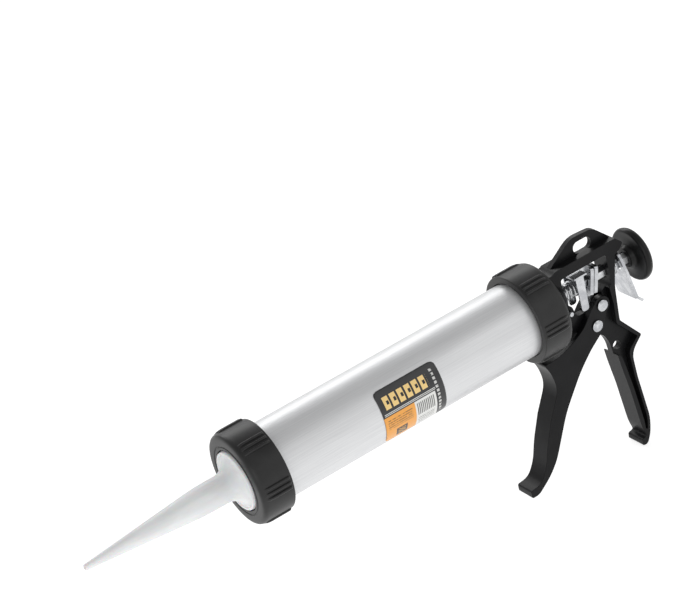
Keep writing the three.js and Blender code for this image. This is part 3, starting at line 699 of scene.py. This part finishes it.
THREAD_PITCH, THREAD_TURNS, THREAD_INSET = 6.0, 1.5, 2.6
THREAD_R, THREAD_WIRE = BARREL_R - 0.2, 0.9
THREAD_LENGTH = THREAD_PITCH * THREAD_TURNS
thread_starts = {"front": BARREL_FRONT + THREAD_INSET, "rear": BARREL_REAR - THREAD_INSET - THREAD_LENGTH}
for end, first in thread_starts.items():
    name = f"{end}_thread"
    thread = coil(name, first, THREAD_LENGTH, THREAD_TURNS, THREAD_R, THREAD_WIRE, aluminium)
    add_piece(name, thread, "barrel", "aluminium", "barrel_tube")

# %% [markdown]
# ## The sticker
# The film is a patch of the cylinder a hair above the tube, with rounded corners. Its own map
# stores where each point lies across the print, so the drawing follows the film and not the room.
# A Solidify modifier gives it the thickness of a real sticker.

# %% Sticker
FILM_LIFT, FILM_THICKNESS, FILM_CORNER = 0.32, 0.22, 3.5
FILM_HALF_ANGLE = math.radians(44)
FILM_ROWS, FILM_COLUMNS = 56, 48


def film_patch():
    length = LABEL_REAR - LABEL_FRONT
    radius = BARREL_R + FILM_LIFT
    girth = 2 * FILM_HALF_ANGLE * radius
    points, maps = [], []
    for row in range(FILM_ROWS + 1):
        rise = girth * row / FILM_ROWS
        near = min(rise, girth - rise)
        inset = 0
        if near < FILM_CORNER:
            inset = FILM_CORNER - math.sqrt(FILM_CORNER ** 2 - (FILM_CORNER - near) ** 2)
        angle = (rise / girth - 0.5) * 2 * FILM_HALF_ANGLE
        for column in range(FILM_COLUMNS + 1):
            along = inset + (length - 2 * inset) * column / FILM_COLUMNS
            points.append((
                (LABEL_FRONT + along) * MM,
                -radius * math.cos(angle) * MM,
                radius * math.sin(angle) * MM,
            ))
            maps.append((along / length, rise / girth))
    wide = FILM_COLUMNS + 1
    faces = [(r * wide + c, r * wide + c + 1, (r + 1) * wide + c + 1, (r + 1) * wide + c)
             for r in range(FILM_ROWS) for c in range(FILM_COLUMNS)]
    mesh = bpy.data.meshes.new("sticker")
    mesh.from_pydata(points, [], faces)
    layer = mesh.uv_layers.new(name="film")
    for loop in mesh.loops:
        layer.data[loop.index].uv = maps[loop.vertex_index]
    mesh.materials.append(film)
    mesh.shade_smooth()
    return mesh


sticker = add_piece("sticker", film_patch(), "barrel", "label", "barrel_label")
wall = sticker.modifiers.new("thickness", "SOLIDIFY")
wall.thickness = FILM_THICKNESS * MM
wall.offset = -1

# %% [markdown]
# ## The ring caps
# One moulding serves both ends: a ring with a rounded shoulder, a lip round a wide opening, a fine
# step on its face, and six groups of three grip ribs. The ring is turned. The ribs repeat, so they
# are instances of one rib: a row of points, each turned about the rod by its place in its group.

# %% The rib tree
RIB_GROUPS, RIBS_PER_GROUP, RIB_STEP, FIRST_GROUP = 6, 3, 6.6, 30.0
CAP_R, CAP_BORE_R, CAP_OPENING_R, CAP_LIP = 32.6, 27.5, 21.8, 3.4


def rib_tree():
    inputs = [
        ("Groups", "Int", RIB_GROUPS), ("Ribs per group", "Int", RIBS_PER_GROUP),
        ("Step", "Float", math.radians(RIB_STEP)), ("First", "Float", math.radians(FIRST_GROUP)),
        ("Finish", "Material", None),
    ]
    tree = Tree("grip_ribs", inputs)
    count = tree.maths("MULTIPLY", tree.given("Groups"), tree.given("Ribs per group"))
    points = tree.node("GeometryNodePoints", None, {"Count": count})
    index = tree.node("GeometryNodeInputIndex")
    group = tree.maths("FLOOR", tree.maths("DIVIDE", index, tree.given("Ribs per group")))
    place = tree.maths("MODULO", index, tree.given("Ribs per group"))
    middle = tree.maths("DIVIDE", tree.maths("SUBTRACT", tree.given("Ribs per group"), 1.0), 2.0)
    small = tree.maths("MULTIPLY", tree.maths("SUBTRACT", place, middle), tree.given("Step"))
    large = tree.maths("MULTIPLY", group, tree.maths("DIVIDE", 2 * math.pi, tree.given("Groups")))
    angle = tree.maths("ADD", tree.maths("ADD", small, large), tree.given("First"))
    spin = tree.node("ShaderNodeCombineXYZ", None, {"X": angle})
    values = {"Points": points, "Instance": tree.given("Geometry"), "Rotation": spin}
    tree.close(tree.node("GeometryNodeInstanceOnPoints", None, values))
    return tree


RIBBING = rib_tree()
print(RIBBING.group.name, list(RIBBING.ids))


# %% One rib, and the two caps
def grip_rib(rim, towards, length):
    """A bar along the ring, on top of it, with a rounded crest and ends that run out."""
    half, root, crest = 1.1, CAP_R - 0.9, CAP_R + 1.25
    stations = [(1.4, 0.0), (1.7, 0.62), (2.3, 0.94), (3.2, 1.0), (length - 7.5, 1.0),
                (length - 5.2, 0.86), (length - 3.4, 0.45), (length - 2.2, 0.0)]
    across = 10
    rings = []
    for along, share in stations:
        top = root + 0.3 + (crest - root - 0.3) * share
        ring = []
        for k in range(across + 1):
            angle = math.pi * k / across
            wide = half * math.cos(angle)
            tall = root + (top - root) * math.sin(angle) ** 0.45 if 0 < k < across else root
            ring.append(((rim + towards * along) * MM, wide * MM, tall * MM))
        rings.append(ring)
    points = [p for ring in rings for p in ring]
    wide = across + 1
    faces = [(i * wide + k, i * wide + k + 1, (i + 1) * wide + k + 1, (i + 1) * wide + k)
             for i in range(len(rings) - 1) for k in range(across)]
    faces += [(i * wide + across, i * wide, (i + 1) * wide, (i + 1) * wide + across)
              for i in range(len(rings) - 1)]
    faces += [tuple(range(wide)), tuple((len(rings) - 1) * wide + k for k in range(wide))]
    mesh = bpy.data.meshes.new("rib")
    mesh.from_pydata(points, [], faces)
    return tidy(mesh, 50)


def ring_profile(rim, towards, length):
    points = [
        (0.0, CAP_BORE_R + 0.1, 0.4), (0.0, CAP_R, 0.9), (length, CAP_R, 4.2),
        (length, 25.2, 0.15), (length - 0.5, 24.9, 0.15), (length - 0.5, 24.2, 0.15), (length, 23.9, 0.15),
        (length, CAP_OPENING_R, 0.9), (length - CAP_LIP, CAP_OPENING_R, 0.4),
        (length - CAP_LIP, CAP_BORE_R + 1.0), (6.0, CAP_BORE_R + 1.0), (2.0, CAP_BORE_R + 0.1),
    ]
    return [(rim + towards * x, r, *rest) for x, r, *rest in points]


CAP_LENGTH = FRONT_CAP_RIM - FRONT_CAP_FACE
for end, rim, towards in (("front", FRONT_CAP_RIM, -1), ("rear", REAR_CAP_RIM, 1)):
    body = f"{end}_cap"
    ring = turned(f"{end}_ring", ring_profile(rim, towards, CAP_LENGTH), cap_nylon, steps=144)
    add_piece(f"{end}_ring", ring, body, "black_nylon", f"{end}_ring_cap")
    ribs = grown(f"{end}_ribs", grip_rib(rim, towards, CAP_LENGTH), RIBBING, Groups=RIB_GROUPS,
                 Ribs_per_group=RIBS_PER_GROUP, Finish=cap_nylon)
    add_piece(f"{end}_ribs", tidy(ribs, 50), body, "black_nylon", f"{end}_ring_cap")

# %% [markdown]
# ## The nozzle
# Its wall follows a rule: a short tube, then a cone to a small tip, plus a flare that grows quickly
# towards the collar under the cap. The rule gives the outside and, less the wall, the inside. The collar
# has a bright rim and a fine groove before the flare starts.

# %% Nozzle
NOZZLE_RIM_R, NOZZLE_ROOT_R, NOZZLE_TIP_R, NOZZLE_WALL = 20.0, 9.8, 2.0, 1.3
FLARE, STRAIGHT = 12.0, 28.0
NOZZLE_LENGTH = FRONT_CAP_FACE - NOZZLE_TIP
NECK_R = CAP_OPENING_R - 0.6


def nozzle_radius(distance):
    share = max(0.0, distance - STRAIGHT) / (NOZZLE_LENGTH - STRAIGHT)
    cone = NOZZLE_ROOT_R + (NOZZLE_TIP_R - NOZZLE_ROOT_R) * share
    if distance >= FLARE:
        return cone
    return cone + (NOZZLE_RIM_R - 1.9 - NOZZLE_ROOT_R) * (1 - distance / FLARE) ** 2.4


face = FRONT_CAP_FACE
FLARE_STEPS = (1.0, 1.6, 2.3, 3.1, 4, 5, 6.2, 7.6, 9.4, FLARE)
INSIDE_STEPS = (110, 85, 60, STRAIGHT, FLARE, 9, 6.6, 4.4, 2.6, 1.4)
outside = [(face - d, nozzle_radius(d)) for d in FLARE_STEPS]
outside.append((face - STRAIGHT, NOZZLE_ROOT_R, 12.0))
outside += [(face - d, nozzle_radius(d)) for d in (60, 85)]
inside = [(face - d + 0.8, nozzle_radius(d) - NOZZLE_WALL) for d in INSIDE_STEPS]
collar_rear, collar_front = NOZZLE_REAR, NOZZLE_REAR - 2.4
nozzle_profile = [
    (collar_rear, 26.4, 0.3), (collar_front, 26.4, 0.3), (collar_front, NECK_R),
    (face + 0.9, NECK_R, 0.1), (face - 1.2, NECK_R - 0.4, 0.7), (face - 1.2, NOZZLE_RIM_R - 0.6, 0.3),
    (face - 0.5, NOZZLE_RIM_R - 1.1, 0.2), (face - 0.7, NOZZLE_RIM_R - 1.6, 0.2),
    *outside, (face - NOZZLE_LENGTH, NOZZLE_TIP_R, 0.3), (face - NOZZLE_LENGTH, NOZZLE_TIP_R - 0.9, 0.2),
    *inside, (collar_rear, NOZZLE_RIM_R - 2.5),
]
nozzle_cone = turned("nozzle_cone", nozzle_profile, polyethylene, steps=112, angle=40)
add_piece("nozzle_cone", nozzle_cone, "nozzle_body", "white_pe", "nozzle")

# %% [markdown]
# ## The rod's knob and bush
# The mushroom knob is turned: a short boss round the rod, a shallow dish in front, a fat rounded
# rim and a gently domed back. The bush that guides the rod sits in the bell of the frame.

# %% Knob and bush
knob_profile = [
    (KNOB_FRONT, 4.9), (KNOB_FRONT, 7.4, 0.8), (KNOB_FRONT + 3.4, 8.6, 1.4), (KNOB_FRONT + 4.4, 14.2, 2.5),
    (KNOB_FRONT + 4.2, 18.9, 1.6), (KNOB_FRONT + 6.6, 20.0, 1.8),
    (KNOB_REAR - 2.2, 19.1, 1.6), (KNOB_REAR - 0.5, 15.5, 2.0), (KNOB_REAR, 10.5, 2.0), (KNOB_REAR, 0.0),
    (KNOB_FRONT + 3.2, 0.0), (KNOB_FRONT + 3.2, 4.9),
]
add_piece("knob_head", turned("knob_head", knob_profile, knob_nylon), "rod", "black_nylon", "pull_knob")

bush_front, bush_rear = span_x("rod_bush")
bush_profile = [(bush_front, 5.05), (bush_front, 7.6, 0.3), (bush_rear, 7.6, 0.5), (bush_rear, 5.05, 0.4)]
add_piece("bush", turned("bush", bush_profile, drawn_steel, steps=64), "frame", "steel", "rod_bush")

# %% [markdown]
# ## Springs
# Two coils of round wire sit round the rod: one pushes the grip plates back after each squeeze, the
# other holds the release plate. The first lies between the bell and the plates, so it shortens as
# they slide forward; here it gets its own mesh and the share of its length it would keep is printed, but it
# is not squashed.

# %% Springs
WIRE_R = 0.65
SPRING_R = 4.62 + 0.4 + WIRE_R
DRIVE_TRAVEL = 9.2
for name, node, turns in (("grip_spring", "return_spring", 6), ("lock_spring", "release_spring", 2)):
    first, last = span_x(node)
    length = last - first - 2 * WIRE_R
    wire = coil(name, first + WIRE_R, length, turns, SPRING_R, WIRE_R, drawn_steel)
    piece = add_piece(name, wire, "frame", "steel", node)
    if node == "return_spring":
        keep = 1 - DRIVE_TRAVEL / (last - first)
        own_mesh(piece)
        print(f"the spring keeps {keep:.2f} of its length")

# %% [markdown]
# ## Castings and pressings
# The frame, the trigger and the sheet metal pieces already have their true shape in the model, but
# its edges are razor sharp. Each is copied, its loose triangles are merged, flat areas are joined
# into single faces, and a Bevel modifier rounds every edge: widely on the castings, where the
# mould and the powder soften them, and finely on the pressed plates. The bevel is then made part
# of the mesh.

# %% Softened copies
WELD = 2e-6                      # metres within which loose corners are one corner
FLAT_ANGLE, EDGE_ANGLE = 1.0, 32
EDGE_SEGMENTS = 3


def softened(name, node, finish, radius):
    mesh = frame["nodes"][node].data.copy()
    mesh.name = name
    work = bmesh.new()
    work.from_mesh(mesh)
    bmesh.ops.remove_doubles(work, verts=work.verts, dist=WELD)
    flat = math.radians(FLAT_ANGLE)
    bmesh.ops.dissolve_limit(work, angle_limit=flat, verts=work.verts, edges=work.edges)
    work.to_mesh(mesh)
    work.free()
    if "custom_normal" in mesh.attributes:
        mesh.attributes.remove(mesh.attributes["custom_normal"])
    mesh.materials.clear()
    mesh.materials.append(finish)
    mesh.shade_smooth()
    blank = link(name + "_blank", mesh)
    bevel = blank.modifiers.new("edges", "BEVEL")
    bevel.width = radius * MM
    bevel.segments = EDGE_SEGMENTS
    bevel.limit_method = "ANGLE"
    bevel.angle_limit = math.radians(EDGE_ANGLE)
    bevel.harden_normals = True
    bevel.miter_outer = "MITER_ARC"
    bpy.context.view_layer.update()
    made = bpy.data.meshes.new_from_object(blank.evaluated_get(bpy.context.evaluated_depsgraph_get()))
    made.name = name
    blank.modifiers.remove(bevel)
    bpy.data.objects.remove(blank)
    return made


CASTINGS = [
    ("frame_body", "frame_casting", black_coat, "frame", "black_paint", 0.7),
    ("trigger_body", "trigger_lever", black_coat, "trigger", "black_paint", 0.9),
    ("front_grip_plate", "grip_plate_front", zinc, "drive", "zinc", 0.3),
    ("rear_grip_plate", "grip_plate_rear", zinc, "drive", "zinc", 0.3),
    ("carrier", "spring_carrier", zinc, "drive", "zinc", 0.3),
    ("thumb_plate", "release_plate", zinc, "release", "zinc", 0.35),
    ("hex_rod", "push_rod", drawn_steel, "rod", "steel", 0.45),
    ("rest_pin", "stop_pin", zinc, "frame", "zinc", 0.25),
    ("plunger", "piston", cap_nylon, "rod", "black_nylon", 0.25),
    ("plunger_seal", "piston_seal", rubber, "rod", "rubber", 0.1),
    ("plunger_bolt", "piston_screw", zinc, "rod", "zinc", 0.3),
    ("plunger_washer", "piston_washer", zinc, "rod", "zinc", 0.2),
    ("collar_gasket", "nozzle_gasket", rubber, "nozzle_body", "rubber", 0.15),
]
for name, node, finish, body, slot, radius in CASTINGS:
    add_piece(name, softened(name, node, finish, radius), body, slot, node)

# %% [markdown]
# ## Rivets
# Two zinc rivets carry the trigger. Each head is a low dome with a flat ring and the small dimple
# that the riveting tool leaves. They are turned like the rest, then laid across the frame.

# %% Rivets
def rivet(name, node, body):
    low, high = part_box(node)
    centre = (low + high) / 2
    half = (high.y - low.y) / 2 / MM
    head, shank_r, head_r = 1.7, 3.0, 4.3
    base = half - head
    side = [
        (base, shank_r), (base, head_r, 0.2), (base + 0.75, head_r, 0.5), (half - 0.45, head_r * 0.8, 0.4),
        (half, head_r * 0.45, 0.4), (half - 0.05, head_r * 0.3, 0.1), (half - 0.5, 0.0),
    ]
    mirrored = [(-x, r, *rest) for x, r, *rest in reversed(side)]
    mesh = turned(name, [*mirrored, *side], zinc, closed=False, steps=48)
    for vertex in mesh.vertices:
        x, y, z = vertex.co
        vertex.co = (centre.x + y, centre.y + x, centre.z + z)
    tidy(mesh)
    return add_piece(name, mesh, body, "zinc", node)


rivet("lower_rivet", "trigger_pivot_rivet", "frame")
rivet("upper_rivet", "pusher_rivet", "trigger")
